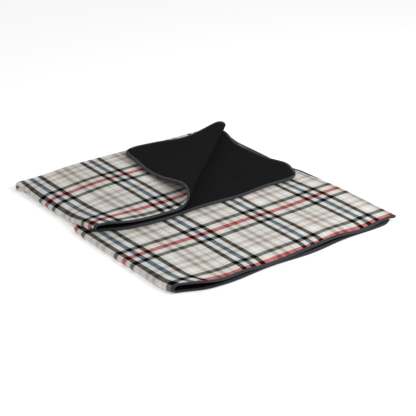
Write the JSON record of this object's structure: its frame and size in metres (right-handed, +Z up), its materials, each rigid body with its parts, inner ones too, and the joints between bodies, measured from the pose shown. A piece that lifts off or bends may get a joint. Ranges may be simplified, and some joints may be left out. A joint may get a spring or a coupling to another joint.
{
  "type": "camp blanket",
  "caption": "Folded plaid camp blanket with a black backing, taped edges and one corner of the top leaf turned back on a soft roll.",
  "frame": {"origin": "under the middle of the folded blanket, on the ground", "axes": "+X toward the two open side edges, +Y from the taped front edge to the rounded far fold, +Z up"},
  "size_m": [0.7625, 0.835, 0.0777],
  "materials": {
    "face_cloth": "brushed plaid fleece",
    "wadding": "matt fibre",
    "backing": "soft matt coating",
    "binding": "woven tape",
    "thread": "twisted thread"
  },
  "bodies": {
    "blanket": {"face_cloth": "face_cloth", "wadding": "wadding", "backing": "backing", "binding": "binding", "binding_stitches": "thread"},
    "corner": {"corner_face_cloth": "face_cloth", "corner_wadding": "wadding", "corner_backing": "backing", "corner_binding": "binding", "corner_binding_stitches": "thread"}
  },
  "joints": [
    {"name": "corner_turn", "type": "hinge", "parent": "blanket", "child": "corner", "pos_m": [0.15391, 0.15911, 0.055], "axis": [0.7431, 0.6691, 0], "range_deg": [0, 179]}
  ]
}
